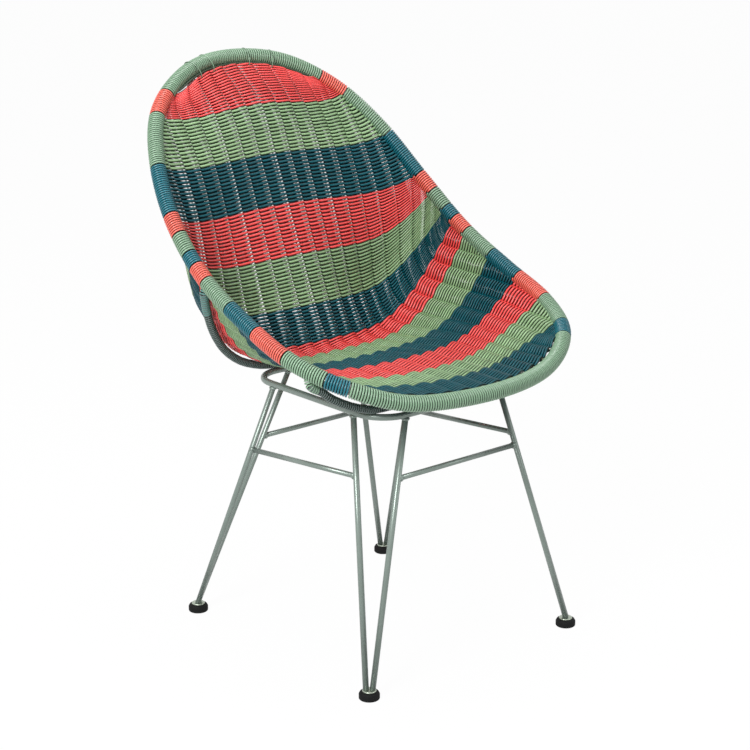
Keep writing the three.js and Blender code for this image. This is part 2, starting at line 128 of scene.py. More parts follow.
def unit(v):
    return v / np.linalg.norm(v, axis=-1, keepdims=True)


def rimFrame(share):
    # along the rim, towards the middle of the shell, and across both
    nudge = 1e-4
    share = np.asarray(share, float)
    tangent = unit(rimPoint(share + nudge) - rimPoint(share - nudge))
    toHub = np.array([0, 0, shell["bottom"] + rise * shell["hubShare"]]) - rimPoint(share)
    inward = unit(toHub - tangent * (toHub * tangent).sum(-1, keepdims=True))
    return tangent, inward, np.cross(tangent, inward)


def rowPoints(row, u):
    # points of the line between two colour bands, or of the shell's top or front edge
    side = np.abs(u)
    flip = np.where(u < 0, -1.0, 1.0)[:, None] * np.array([1.0, 0, 0]) + np.array([0, 1.0, 1.0])
    if row in (0, lastRow):
        share = breaks[0] * side if row == 0 else 1 - (1 - breaks[-1]) * side
        inset = shell["topInset"] if row == 0 else shell["frontInset"]
        inward = rimFrame(share)[1]
        return (rimPoint(share) + inward * (inset * (1 - side ** shell["insetPower"]))[:, None]) * flip
    end = rimPoint(breaks[row])
    keelY, keelZ = shell["keel"][row - 1]
    hump = 4 * side ** 2 * (1 - side ** 2)
    depth = keelY * shell["halfDepth"] - end[1]
    drop = shell["bottom"] + keelZ * rise - end[2]
    return np.stack([
        end[0] * u,
        end[1] + depth * (1 - side ** shell["depthPowers"][row - 1])
        + shell["bows"][row - 1] * shell["halfDepth"] * hump,
        end[2] + drop * (1 - side ** shell["heightPowers"][row - 1]) + shell["lifts"][row - 1] * rise * hump,
    ], 1)


def shellPoints(s, u):
    # s counts the colour breaks from the top edge, u runs from -1 at the right side to 1 at the left
    u = np.atleast_1d(np.asarray(u, float))
    s = np.broadcast_to(np.asarray(s, float), u.shape)
    rows = np.stack([rowPoints(row, u) for row in range(lastRow + 1)])
    padded = padEnds(rows)
    cell = np.clip(np.floor(s).astype(int), 0, lastRow - 1)
    w = (s - cell)[:, None]
    at = np.arange(len(u))
    a, b, c, d = [padded[cell + k, at] for k in (0, 1, 2, 3)]
    return cubicBlend(b, c, (c - a) / 2, (d - b) / 2, w)


def shellFrames(s, u):
    # across the row, down the shell at right angles to it, and out at the back
    nudge = 0.002
    across = unit(shellPoints(s, u + nudge) - shellPoints(s, u - nudge))
    down = shellPoints(s + nudge, u) - shellPoints(s - nudge, u)
    out = unit(np.cross(across, down))
    return across, np.cross(out, across), out


def columnsAlong(rowAt, reach=1.0, steps=240):
    # lengths along half a row, counted in columns from the middle
    u = np.linspace(0, reach, steps + 1)
    return u, runLengths(shellPoints(rowAt(u), u)) / shell["columnPitch"]


rimSamples = rimPoint(np.linspace(0, 1, 400))


def rimDistance(points):
    # distance to the rim's centreline, either side
    p = np.array(points, float)
    p[:, 0] = np.abs(p[:, 0])
    start, edge = rimSamples[:-1], np.diff(rimSamples, axis=0)
    t = np.clip(((p[:, None] - start) * edge).sum(-1) / (edge ** 2).sum(-1), 0, 1)
    return np.linalg.norm(p[:, None] - start - edge * t[..., None], axis=-1).min(1)


def rowReach(rowAt, limit):
    # how far out a row runs before it is inside the rim's winding
    u = np.linspace(0.5, 1, 81)
    near = rimDistance(shellPoints(rowAt(u), u)) < limit
    return u[np.argmax(near)] if near.any() else 1.0


def paintPalette(name):
    text = palette[name]
    channels = [int(text[k:k + 2], 16) / 255 for k in (1, 3, 5)]
    return tuple(c / 12.92 if c <= 0.04045 else ((c + 0.055) / 1.055) ** 2.4 for c in channels) + (1.0,)


class Wire:
    # a shader socket that can be added, multiplied and so on

    def __init__(self, tree, socket):
        self.tree = tree
        self.socket = socket

    def node(self, kind, settings=None, **inputs):
        made = self.tree.nodes.new(kind)
        for key, value in (settings or {}).items():
            setattr(made, key, value)
        for key, value in inputs.items():
            # i0, i1 and so on give a socket by its number
            byNumber = key[0] == "i" and key[1:].isdigit()
            slot = made.inputs[int(key[1:]) if byNumber else key.replace("_", " ")]
            if isinstance(value, Wire):
                self.tree.links.new(value.socket, slot)
            else:
                slot.default_value = value
        return made

    def out(self, made, index=0):
        return Wire(self.tree, made.outputs[index])

    def maths(self, operation, first, second=0.0, clamp=False):
        made = self.node("ShaderNodeMath", {"operation": operation, "use_clamp": clamp}, i0=first, i1=second)
        return self.out(made)

    def __add__(self, other):
        return self.maths("ADD", self, other)

    def __radd__(self, other):
        return self.maths("ADD", other, self)

    def __sub__(self, other):
        return self.maths("SUBTRACT", self, other)

    def __rsub__(self, other):
        return self.maths("SUBTRACT", other, self)

    def __mul__(self, other):
        return self.maths("MULTIPLY", self, other)

    def __rmul__(self, other):
        return self.maths("MULTIPLY", other, self)

    def __truediv__(self, other):
        return self.maths("DIVIDE", self, other)

    def __rtruediv__(self, other):
        return self.maths("DIVIDE", other, self)

    def mixed(self, first, second):
        # this value picks between two colours
        made = self.node("ShaderNodeMix", {"data_type": "RGBA"}, i0=self, i6=first, i7=second)
        return self.out(made, 2)


def startMaterial(name, colour, **constants):
    material = bpy.data.materials.new(name)
    material.use_nodes = True
    material.diffuse_color = paintPalette(colour)
    tree = material.node_tree
    shader = tree.nodes["Principled BSDF"]
    for key, value in constants.items():
        shader.inputs[key.replace("_", " ")].default_value = value
    return material, shader, Wire(tree, None)


def shade(colour, factor):
    return tuple(min(1.0, c * factor) for c in colour[:3]) + (1.0,)


def noise(wire, place, scale, detail=2.0):
    return wire.out(wire.node("ShaderNodeTexNoise", None, Vector=place, Scale=scale, Detail=detail))


def wireSurface(wire, shader, colour, rough, height, strength, depth=0.0002):
    # colour, roughness and bump into the shader
    wire.tree.links.new(colour.socket, shader.inputs["Base Color"])
    wire.tree.links.new(rough.socket, shader.inputs["Roughness"])
    bump = wire.node("ShaderNodeBump", None, Strength=strength, Distance=depth, Height=height)
    wire.tree.links.new(bump.outputs[0], shader.inputs["Normal"])


def strandMaterial(name, colour, look):
    # moulded strand: fine lengthwise drawing lines, each strand of its own tone, and painted shade darkening
    # the sides of each strand that turn towards its neighbours
    material, shader, wire = startMaterial(name, colour, Specular_IOR_Level=look["specular"])
    base = paintPalette(colour)
    tone = wire.out(wire.node("ShaderNodeAttribute", {"attribute_name": "tone"}), 2)
    strandMap = wire.out(wire.node("ShaderNodeUVMap", {"uv_map": "strandMap"}))
    stretched = wire.node("ShaderNodeMapping", None, Vector=strandMap,
                          Scale=(look["lineLength"], look["lines"], 1))
    lines = noise(wire, wire.out(stretched), 1.0)
    mottle = noise(wire, wire.out(wire.node("ShaderNodeTexCoord"), 3), look["mottleScale"])
    amount = tone * look["toneShare"] + lines * look["lineShare"] + mottle * look["mottleShare"]
    # painted shade: where a corner looks along the strand's side rather than out of its open side, the colour
    # goes towards the dark crevice shade colour
    facing = wire.node("ShaderNodeAttribute", {"attribute_name": "facing"})
    split = wire.node("ShaderNodeSeparateXYZ", None, Vector=wire.out(facing, 1))
    outward, aside = wire.maths("MAXIMUM", wire.out(split, 0), 0.0), wire.out(split, 1)
    # the small sum keeps the share defined where neither part is above zero
    openShare = outward * outward / (outward * outward + aside * aside + 0.0001)
    lit = wire.maths("POWER", openShare, look["creviceShadeReach"], clamp=True)
    colourOut = amount.mixed(shade(base, look["dark"]), shade(base, look["light"]))
    colourOut = lit.mixed(shade(base, look["crevice"]), colourOut)
    rough = mottle * look["mottleRough"] + lines * look["lineRough"] + look["leastRough"]
    wireSurface(wire, shader, colourOut, rough, lines, look["bump"])
    return material


strandLook = {
    "leastRough": 0.15,
    "mottleRough": 0.2,
    "lineRough": 0.12,
    "mottleScale": 60.0,
    "specular": 0.48,
    "lines": 9.0,
    "lineLength": 60.0,
    "toneShare": 0.45,
    "lineShare": 0.35,
    "mottleShare": 0.3,
    "dark": 0.76,
    "light": 1.66,
    # painted shade in the crevices between strands, and how quickly it gives way to the lit colour
    "crevice": 0.14,
    "creviceShadeReach": 0.75,
    "bump": 0.35,
}


metalLook = {"patchScale": 22.0, "dark": 0.78, "light": 1.22, "roughSpread": 0.16, "bump": 0.12}


def metalMaterial(name, colour, metallic, roughness, grain, speckle):
    # painted or bare metal: soft orange-peel and a few duller patches
    material, shader, wire = startMaterial(name, colour, Metallic=metallic)
    base = paintPalette(colour)
    place = wire.out(wire.node("ShaderNodeTexCoord"), 3)
    fine = noise(wire, place, grain, 3.0)
    broad = noise(wire, place, metalLook["patchScale"])
    amount = fine * speckle + broad * (1 - speckle)
    colourOut = amount.mixed(shade(base, metalLook["dark"]), shade(base, metalLook["light"]))
    rough = broad * metalLook["roughSpread"] + (roughness - metalLook["roughSpread"] / 2)
    wireSurface(wire, shader, colourOut, rough, fine, metalLook["bump"])
    return material


rubberLook = {
    "specular": 0.2,
    "dustScale": 240.0,
    "dustHeight": 0.004,
    "dustShare": 0.6,
    "lowShare": 0.5,
    "dark": 0.8,
    "light": 2.2,
    "leastRough": 0.65,
    "roughSpread": 0.25,
    "bump": 0.2,
}


def rubberMaterial():
    # dull black with fine dust, thicker near the floor
    material, shader, wire = startMaterial("footRubber", "rubber", Specular_IOR_Level=rubberLook["specular"])
    base = paintPalette("rubber")
    place = wire.out(wire.node("ShaderNodeTexCoord"), 3)
    dust = noise(wire, place, rubberLook["dustScale"], 4.0)
    height = wire.out(wire.node("ShaderNodeSeparateXYZ", None, Vector=place), 2)
    low = wire.maths("MULTIPLY", rubberLook["dustHeight"] - height, 1 / rubberLook["dustHeight"], clamp=True)
    amount = dust * rubberLook["dustShare"] + low * rubberLook["lowShare"]
    colourOut = amount.mixed(shade(base, rubberLook["dark"]), shade(base, rubberLook["light"]))
    rough = dust * rubberLook["roughSpread"] + rubberLook["leastRough"]
    wireSurface(wire, shader, colourOut, rough, dust, rubberLook["bump"])
    return material


materials = {name: strandMaterial(name + "Strand", name, strandLook)
             for name in ("coral", "sage", "rimCoral", "rimSage", "rimTeal", "hoopGrey", "binding")}
materials["teal"] = strandMaterial("tealStrand", "teal", {**strandLook, "specular": 0.2})
materials["steel"] = metalMaterial("coreSteel", "steel", metallic=0.9, roughness=0.4, grain=900,
                                   speckle=0.5)
materials["paint"] = metalMaterial("framePaint", "paint", metallic=0.3, roughness=0.28, grain=700,
                                   speckle=0.4)
materials["stakeLight"] = metalMaterial("stakeLight", "stakeLight", metallic=0.3, roughness=0.4, grain=700,
                                        speckle=0.4)
materials["stakeDim"] = metalMaterial("stakeDim", "stakeDim", metallic=0.0, roughness=0.5, grain=700,
                                      speckle=0.4)
materials["disc"] = metalMaterial("footDisc", "disc", metallic=0.9, roughness=0.3, grain=900,
                                  speckle=0.3)
materials["rubber"] = rubberMaterial()
print("materials made")


def finishPiece(name, mesh, material, slot, nodes=()):
    piece = bpy.data.objects.new(name, mesh)
    bpy.context.scene.collection.objects.link(piece)
    mesh.materials.clear()
    mesh.materials.append(materials[material])
    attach(piece, "root")
    if nodes:
        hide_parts(*nodes)
    return piece


def addFacing(mesh, strands, owner, along):
    # which way each corner looks from its strand's middle: out of the side that shows, and along that side; the
    # strand material paints shade onto the corners that look along the side
    counts = np.array([len(strand["points"]) for strand in strands])
    spans = counts - np.array([0 if strand.get("closed") else 1 for strand in strands])
    starts = np.concatenate([[0], np.cumsum(counts)[:-1]])
    at = starts[owner] + np.rint(along * spans[owner]).astype(int) % counts[owner]
    middles = np.concatenate([np.asarray(strand["points"]) for strand in strands])
    outs = np.concatenate([np.broadcast_to(strand["out"], (count, 3))
                           for strand, count in zip(strands, counts)])
    runs = np.concatenate([unit(np.gradient(np.asarray(strand["points"]), axis=0)) for strand in strands])
    places = np.zeros(len(mesh.vertices) * 3, np.float32)
    mesh.vertices.foreach_get("co", places)
    which = np.zeros(len(mesh.loops), np.int32)
    mesh.loops.foreach_get("vertex_index", which)
    arm = places.reshape(-1, 3)[which] - middles[at]
    arm /= np.maximum(np.linalg.norm(arm, axis=1, keepdims=True), 1e-9)
    sides = np.cross(runs, outs)[at]
    facing = np.stack([(arm * outs[at]).sum(1), (arm * sides).sum(1), np.zeros(len(at))], 1)
    layer = mesh.attributes.new("facing", "FLOAT_VECTOR", "CORNER")
    layer.data.foreach_set("vector", facing.astype(np.float32).ravel())


def strandMesh(name, strands, sides=6):
    # each strand: points, radius, the surface's outward direction (its open side, away from where the material
    # paints crevice shade), thickness shares, range of tones, whether it closes on itself
    curve = bpy.data.curves.new(name, "CURVE")
    curve.dimensions = "3D"
    curve.bevel_depth = 1.0
    curve.bevel_resolution = (sides - 4) // 2
    curve.use_fill_caps = True
    lengths = []
    for index, strand in enumerate(strands):
        points = np.asarray(strand["points"])
        curve.materials.append(None)
        spline = curve.splines.new("POLY")
        spline.points.add(len(points) - 1)
        spline.points.foreach_set("co", np.concatenate([points, np.ones((len(points), 1))], 1).ravel())
        thickness = np.broadcast_to(strand["radius"] * np.asarray(strand.get("thickness", 1.0)), len(points))
        spline.points.foreach_set("radius", np.ascontiguousarray(thickness, dtype=float))
        spline.use_cyclic_u = strand.get("closed", False)
        spline.material_index = index
        lengths.append(np.linalg.norm(np.diff(points, axis=0), axis=1).sum())
    maker = bpy.data.objects.new(name + "Maker", curve)
    bpy.context.scene.collection.objects.link(maker)
    graph = bpy.context.evaluated_depsgraph_get()
    mesh = bpy.data.meshes.new_from_object(maker.evaluated_get(graph))
    bpy.data.objects.remove(maker)
    faceStrand = np.zeros(len(mesh.polygons), np.int32)
    mesh.polygons.foreach_get("material_index", faceStrand)
    tones = np.random.default_rng(len(name) + len(strands)).random(len(strands))
    tones = np.array([low + (high - low) * draw for (low, high), draw
                      in zip([strand.get("tone", (0, 1)) for strand in strands], tones)])
    tone = mesh.attributes.new("tone", "FLOAT", "FACE")
    tone.data.foreach_set("value", tones[faceStrand].astype(np.float32))
    mesh.polygons.foreach_set("material_index", np.zeros_like(faceStrand))
    corners = np.zeros(len(mesh.loops) * 2, np.float32)
    layer = mesh.uv_layers[0]
    layer.uv.foreach_get("vector", corners)
    corners = corners.reshape(-1, 2)
    totals = np.zeros(len(mesh.polygons), np.int32)
    mesh.polygons.foreach_get("loop_total", totals)
    owner = np.repeat(faceStrand, totals)
    along = corners[:, 0].copy()
    corners[:, 0] *= np.array(lengths)[owner]
    layer.uv.foreach_set("vector", corners.ravel())
    layer.name = "strandMap"
    addFacing(mesh, strands, owner, along)
    work = bmesh.new()
    work.from_mesh(mesh)
    bmesh.ops.remove_doubles(work, verts=work.verts, dist=1e-6)
    for face in work.faces:
        face.smooth = True
    work.to_mesh(mesh)
    work.free()
    mesh.name = name
    return mesh


# random tones of the wound strands, set lighter than the weave's tones as a painted sheen on the rounded
# windings
windingToneAndSheen = (0.55, 0.85)


def winding(centres, axisA, axisB, radius, pitch, strandRadius, perTurn=14):
    # a strand wound round a centreline
    steps = runLengths(centres)
    turns = max(1, round(steps[-1] / pitch))
    at = np.linspace(0, steps[-1], turns * perTurn + 1)
    spread = [np.stack([np.interp(at, steps, source[:, k]) for k in range(3)], 1)
              for source in (centres, axisA, axisB)]
    angle = at / steps[-1] * turns * 2 * math.pi
    out = np.cos(angle)[:, None] * spread[1] + np.sin(angle)[:, None] * spread[2]
    return {"points": spread[0] + radius * out, "radius": strandRadius, "out": out, "tone": windingToneAndSheen}


rimWinding = {"pitch": 0.0039, "strandRadius": 0.0018, "margin": 0.0006, "halfLength": 0.95, "samples": 60}


def rimWindingStrand(start, end):
    margin = rimWinding["margin"] / rimWinding["halfLength"]
    share = np.linspace(start + margin, end - margin, rimWinding["samples"])
    tangent, inward, across = rimFrame(share)
    radius = shell["rimRadius"] - rimWinding["strandRadius"]
    return winding(rimPoint(share), inward, across, radius, rimWinding["pitch"], rimWinding["strandRadius"])


# lists of twelve hold one value for each band; lead is in bands; swapAt, boldReach, stops and edgeGap are in
# columns, from one stake to the next; tightFrom and thinFrom are shares of half a row
weave = {
    "colours": ["coral", "sage", "teal"],
    "rows": [15, 14, 14, 14, 14, 11, 7, 12, 12, 10, 10, 10],
    "radiusShares": [0.4, 0.43, 0.43, 0.43, 0.43, 0.41, 0.38, 0.38, 0.38, 0.39, 0.4, 0.41],
    "radiusRange": (0.001, 0.003),
    "rimThinning": 0.07,
    "lead": 0.055,
    "swapAt": 0.14,
    "sharpness": 4.0,
    "necks": [0.55] * 6 + [0.75] * 6,
    "boldNeck": 0.3,
    "boldReach": 0.25,
    "tightSide": 0.7,
    "bellyPower": 0.27,
    "depthShare": 0.75,
    "stakeDepth": 0.0012,
    "slopes": [0.1] * 5 + [0.16] + [0.22] * 6,
    "backShares": [0.2] * 5 + [0.13] + [0.2] * 6,
    "crowns": [0.0006] * 5 + [0.001] + [0.0032] * 6,
    "stops": [-0.1, -0.045, -0.015, 0.015, 0.045, 0.1, 0.24, 0.42, 0.6, 0.76],
    "buried": 0.0108,
    "edgeGap": 0.02,
    "backBands": 6,
    "boldEvery": 3,
    "tightFrom": 0.5,
    "tightOver": 0.2,
    "thinFrom": 0.6,
    "thinOver": 0.25,
    "tone": (0, 0.75),
}


def bandRows(band, rows):
    # where the rows of a band lie along half their length, evenly spread over its width, and their pitch there
    side = np.linspace(0, 1, 61)
    steps = np.linspace(0 if band else -weave["lead"], 1, 13)
    points = np.stack([shellPoints(band + step, side) for step in steps])
    widths = np.linalg.norm(np.diff(points, axis=0), axis=2).cumsum(axis=0)
    widths = np.concatenate([np.zeros((1, len(side))), widths])
    shares = (np.arange(rows) + 0.5) / rows
    places = np.stack([np.interp(shares * width[-1], width, steps) for width in widths.T], 1)
    return band + places, widths[-1] / rows


def weftStrand(band, places, pitches, turn):
    # one of the two strands of a row: in front of one stake, behind the next, crossing its partner beside each
    side = np.linspace(0, 1, len(places))

    def rowAt(u):
        return np.interp(np.abs(u), side, places)

    reach = rowReach(rowAt, weave["buried"])
    u, columns = columnsAlong(rowAt, reach)
    edge = columns[-1]
    bays = np.arange(-math.ceil(edge), math.ceil(edge))
    at = (bays[:, None] + weave["swapAt"] + np.array(weave["stops"])).ravel()
    at = np.concatenate([[-edge], at[np.abs(at) < edge - weave["edgeGap"]], [edge]])
    place = np.sign(at) * np.interp(np.abs(at), columns, u)
    across, down, out = shellFrames(rowAt(place), place)
    rowPitch = np.interp(np.abs(place), side, pitches)
    phase = math.pi * (at - weave["swapAt"]) + turn
    every = weave["boldEvery"]
    bold = np.exp(-((at - every * np.round(at / every)) / weave["boldReach"]) ** 2)
    neck = weave["necks"][band] + (weave["boldNeck"] - weave["necks"][0]) * bold
    tight = np.clip((place - weave["tightFrom"]) / weave["tightOver"], 0, 1)
    neck = neck + weave["tightSide"] * (1 - neck) * tight
    belly = neck + (1 - neck) * np.abs(np.sin(phase)) ** weave["bellyPower"]
    thin = np.clip((np.abs(place) - weave["thinFrom"]) / weave["thinOver"], 0, 1)
    belly = belly * (1 - weave["rimThinning"] * thin * (band < weave["backBands"]))
    radius = np.clip(weave["radiusShares"][band] * rowPitch, *weave["radiusRange"]) * belly
    swap = np.tanh(weave["sharpness"] * np.sin(phase)) / math.tanh(weave["sharpness"])
    inward = swap * (weave["depthShare"] * radius + weave["stakeDepth"] * np.cos(math.pi * at) ** 2)
    upward = -rowPitch * (weave["backShares"][band] * swap + weave["slopes"][band] * np.cos(phase))
    inward = inward + weave["crowns"][band] * np.sin(phase) ** 2
    points = shellPoints(rowAt(place), place) - out * inward[:, None] - down * upward[:, None]
    # the open side of each strand faces away from its partner strand; the sides turned towards it get the
    # painted crevice shade
    return {"points": points, "radius": 1.0, "thickness": radius, "out": -out * swap[:, None],
            "tone": weave["tone"]}


windings = {colour: [] for colour in weave["colours"]}
for band, rows in enumerate(weave["rows"]):
    colour = weave["colours"][band % 3]
    places, pitches = bandRows(band, rows)
    strands = [weftStrand(band, row, pitches, turn) for row in places for turn in (0, math.pi)]
    windings[colour] += [rimWindingStrand(breaks[band], breaks[band + 1]),
                         rimWindingStrand(2 - breaks[band + 1], 2 - breaks[band])]
    label = f"weaveBand{band + 1:02d}" + colour.capitalize()
    finishPiece(label, strandMesh(label, strands), colour, colour + "_strand",
                [f"weave_band_{band + 1:02d}_{colour}"])
# the rim windings take the paler rim colours, a painted sheen on the rounded rim
for colour, strands in windings.items():
    name = "rimBands" + colour.capitalize()
    finishPiece(name, strandMesh(name, strands), "rim" + colour.capitalize(), colour + "_strand")
print("weave made")

for label, start, end in (("Back", -breaks[0], breaks[0]), ("Front", breaks[-1], 2 - breaks[-1])):
    finishPiece("rimWrap" + label, strandMesh("rimWrap" + label, [rimWindingStrand(start, end)]),
                "rimSage", "rim_sage_strand", ["rim_wrap_" + label.lower()])

edgeStrand = {
    "radius": 0.0022,
    "inset": 0.01426,
    "reach": 0.152,
    "sink": 0.4,
    "sinkPower": 14,
    "tieShares": [-0.09, -0.055, 0.03, 0.075],
    "tieRadius": 0.0009,
    "tieSink": 0.33,
    "tieDepth": 0.0178,
    "tieWidth": 0.0131,
    "tieSlant": 0.001,
}
share = np.linspace(-edgeStrand["reach"], edgeStrand["reach"], 90)
tangent, inward, across = rimFrame(share)
nearEnd = np.abs(share / edgeStrand["reach"]) ** edgeStrand["sinkPower"]
inset = edgeStrand["inset"] * (1 - edgeStrand["sink"] * nearEnd)
edgePath = rimPoint(share) + inward * inset[:, None]
edge = {"points": edgePath, "radius": edgeStrand["radius"], "out": across}
finishPiece("topEdgeStrand", strandMesh("topEdgeStrand", [edge], 8), "sage", "sage_strand", ["top_edge_strand"])
ties = []
for place in edgeStrand["tieShares"]:
    tangent, inward, across = rimFrame(place)
    middle = rimPoint(place) + inward * edgeStrand["inset"] * edgeStrand["tieSink"]
    angle = np.linspace(0, 2 * math.pi, 40, endpoint=False)
    loop = middle + (inward * (edgeStrand["tieDepth"] * np.cos(angle))[:, None]
                     + across * (edgeStrand["tieWidth"] * np.sin(angle))[:, None]
                     + tangent * (edgeStrand["tieSlant"] * np.sin(angle))[:, None])
    ties.append({"points": loop, "radius": edgeStrand["tieRadius"], "out": unit(loop - middle), "closed": True})
finishPiece("edgeTies", strandMesh("edgeTies", ties), "rimSage", "rim_sage_strand")
print("rim made")

stakes = {
    "boldNames": ["right_outer", "right_inner", "middle", "left_inner", "left_outer"],
    "boldRadius": 0.0018,
    "thinRadius": 0.0008,
    "pairHalf": 0.0013,
    "clear": 0.0095,
    "widest": 11,
}


def stakePath(column, aside=0.0):
    # down the shell, a fixed count of stakes from the middle
    column += aside / shell["columnPitch"]
    points = []
    for s in np.linspace(0, lastRow, 97):
        u, columns = columnsAlong(lambda side: s, steps=80)
        if abs(column) > columns[-1]:
            continue
        place = np.sign(column) * np.interp(abs(column), columns, u)
        points.append(shellPoints(s, place)[0])
    points = np.array(points)
    return points[rimDistance(points) > stakes["clear"]]


for index, label in enumerate(stakes["boldNames"]):
    path = stakePath(weave["boldEvery"] * (index - 2))
    name = "stake" + "".join(word.capitalize() for word in label.split("_"))
    finishPiece(name, strandMesh(name, [{"points": path, "radius": stakes["boldRadius"], "out": (0, 0, 1)}]),
                "stakeLight", "core_steel", ["stake_" + label])
thin = [{"points": stakePath(column, aside), "radius": stakes["thinRadius"], "out": (0, 0, 1)}
        for column in range(-stakes["widest"], stakes["widest"] + 1) if column % weave["boldEvery"]
        for aside in (-stakes["pairHalf"], stakes["pairHalf"])]
finishPiece("thinStakes", strandMesh("thinStakes", thin), "stakeDim", "core_steel")
print("stakes made")

hoops = {
    "rear": {
        "shares": [
            (1.008, 0.897), (0.977, 0.758), (0.939, 0.624), (0.898, 0.505), (0.848, 0.39), (0.794, 0.29),
            (0.72, 0.19), (0.637, 0.108), (0.543, 0.048), (0.45, 0.01), (0.36, 0), (0, 0),
        ],
        "ringY": 0.0745,
        "breakShare": 0.507,
        "bindLength": 0.038,
        "bindColour": "binding",
    },
    "front": {
        "shares": [
            (0.996, 0.735), (0.978, 0.67), (0.914, 0.551), (0.863, 0.414), (0.809, 0.306), (0.755, 0.215),
            (0.699, 0.135), (0.62, 0.05), (0.55, 0), (0, 0),
        ],
        "ringY": -0.205,
        "breakShare": 0.735,
        "bindLength": 0.016,
        "bindColour": "rimSage",
    },
    "radius": 0.0066,
    "strandRadius": 0.0015,
    "pitch": 0.0038,
    "bindRadius": 0.0068,
    "bindDepth": 0.0095,
}


def centripetal(points, perSpan=16):
    # curve through the points with knots spaced by the root of each chord
    points = np.asarray(points, float)
    padded = padEnds(points)
    made = []
    for k in range(len(points) - 1):
        a, b, c, d = padded[k:k + 4]
        d0, d1, d2 = [math.sqrt(np.linalg.norm(q - p)) for p, q in ((a, b), (b, c), (c, d))]
        slope1 = ((b - a) / d0 - (c - a) / (d0 + d1) + (c - b) / d1) * d1
        slope2 = ((c - b) / d1 - (d - b) / (d1 + d2) + (d - c) / d2) * d1
        w = np.linspace(0, 1, perSpan, endpoint=False)[:, None]
        made.append(cubicBlend(b, c, slope1, slope2, w))
    return np.concatenate(made + [points[-1:]])


def hoopCoil(path, radius):
    # a strand wound round a stretch of hoop
    along = unit(np.gradient(path, axis=0))
    first = unit(np.cross(along, [0.0, 1.0, 0.0]))
    return winding(path, first, np.cross(along, first), radius - hoops["strandRadius"], hoops["pitch"],
                   hoops["strandRadius"], perTurn=12)


for label in ("rear", "front"):
    hoop = hoops[label]
    top = rimPoint(hoop["breakShare"])
    side = [(x * top[0], hoop["ringY"] + (top[1] - hoop["ringY"]) * lift,
             shell["bottom"] + (top[2] - shell["bottom"]) * lift) for x, lift in hoop["shares"]]
    path = centripetal([(-x, y, z) for x, y, z in side] + side[-2::-1])
    name = label + "HoopWrap"
    finishPiece(name, strandMesh(name, [hoopCoil(path, hoops["radius"])]), "hoopGrey", "hoop_strand",
                [label + "_hoop_wrap"])
    bindings = []
    for ends in (path, path[::-1]):
        # the binding runs from the hoop's last stretch into the rim's winding
        lashed = ends[runLengths(ends) < hoop["bindLength"]][::-1]
        foot = top * np.array([math.copysign(1, ends[0][0]), 1, 1])
        sunk = foot + unit(ends[0] - foot) * hoops["bindDepth"]
        lashed = np.concatenate([lashed, [(lashed[-1] + sunk) / 2, sunk]])
        bindings.append(hoopCoil(lashed, hoops["bindRadius"]))
    name = label + "HoopBindings"
    finishPiece(name, strandMesh(name, bindings), hoop["bindColour"], "hoop_strand")
print("hoops made")


def meshFrom(work, name, smooth=True):
    bmesh.ops.remove_doubles(work, verts=work.verts, dist=1e-6)
    bmesh.ops.recalc_face_normals(work, faces=work.faces)
    for face in work.faces:
        face.smooth = smooth
    mesh = bpy.data.meshes.new(name)
    work.to_mesh(mesh)
    work.free()
    return mesh


def addRod(work, start, end, radius, level=False, sides=20):
    # round rod between two points; a level rod keeps flat horizontal ends
    start, end = Vector(start), Vector(end)
    made = bmesh.ops.create_cone(work, cap_ends=True, segments=sides, radius1=radius, radius2=radius, depth=1.0)
    verts = made["verts"]
    if level:
        place = Matrix.Translation((start + end) / 2)
        slant = end - start
        shear = Matrix(((1, 0, slant.x, 0), (0, 1, slant.y, 0), (0, 0, slant.z, 0), (0, 0, 0, 1)))
        bmesh.ops.transform(work, matrix=place @ shear, verts=verts)
    else:
        turn = (end - start).to_track_quat("Z", "Y").to_matrix().to_4x4()
        size = Matrix.Diagonal((1, 1, (end - start).length, 1))
        bmesh.ops.transform(work, matrix=Matrix.Translation((start + end) / 2) @ turn @ size, verts=verts)


base = {
    "ringHalfWidth": 0.144,
    "ringFront": -0.2265,
    "ringRear": 0.0745,
    "ringHeight": 0.3982,
    "ringRadius": 0.005,
    "ringCorner": 0.048,
    "rodRadius": 0.0045,
    "rodSpread": 0.007,
    "frontFoot": (0.2072, -0.2748),
    "rearFoot": (0.1999, 0.1588),
    "frontRodTop": (0.0955, -0.1675),
    "rearRodTop": (0.071, 0.02),
    "stretcherRadius": 0.004,
    "frontStretcherHeight": 0.309,
    "rearStretcherHeight": 0.288,
    "rodBottom": 0.0144,
    "rodTop": 0.3929,
    "stretcherGap": 0.003,
    "beadRadius": 0.0062,
    "beadInset": 0.0045,
    "stretcherBead": (0.95, 0.95, 0.55, 1),
    "rodBead": (1.05, 1.05, 0.55, 1),
    "rodBeadDrop": 0.0005,
}
work = bmesh.new()
corner = base["ringCorner"]
made = bmesh.ops.create_circle(work, segments=16, radius=base["ringRadius"])
turn = Matrix.Rotation(math.pi / 2, 4, "X")
place = Matrix.Translation((base["ringHalfWidth"], base["ringFront"] + corner, base["ringHeight"]))
bmesh.ops.transform(work, matrix=place @ turn, verts=made["verts"])
openEnd = list(work.edges)
depth = base["ringRear"] - base["ringFront"] - 2 * corner
width = 2 * (base["ringHalfWidth"] - corner)
runs = [((0, depth, 0), (base["ringHalfWidth"] - corner, base["ringRear"] - corner)),
        ((-width, 0, 0), (-base["ringHalfWidth"] + corner, base["ringRear"] - corner)),
        ((0, -depth, 0), (-base["ringHalfWidth"] + corner, base["ringFront"] + corner)),
        ((width, 0, 0), (base["ringHalfWidth"] - corner, base["ringFront"] + corner))]
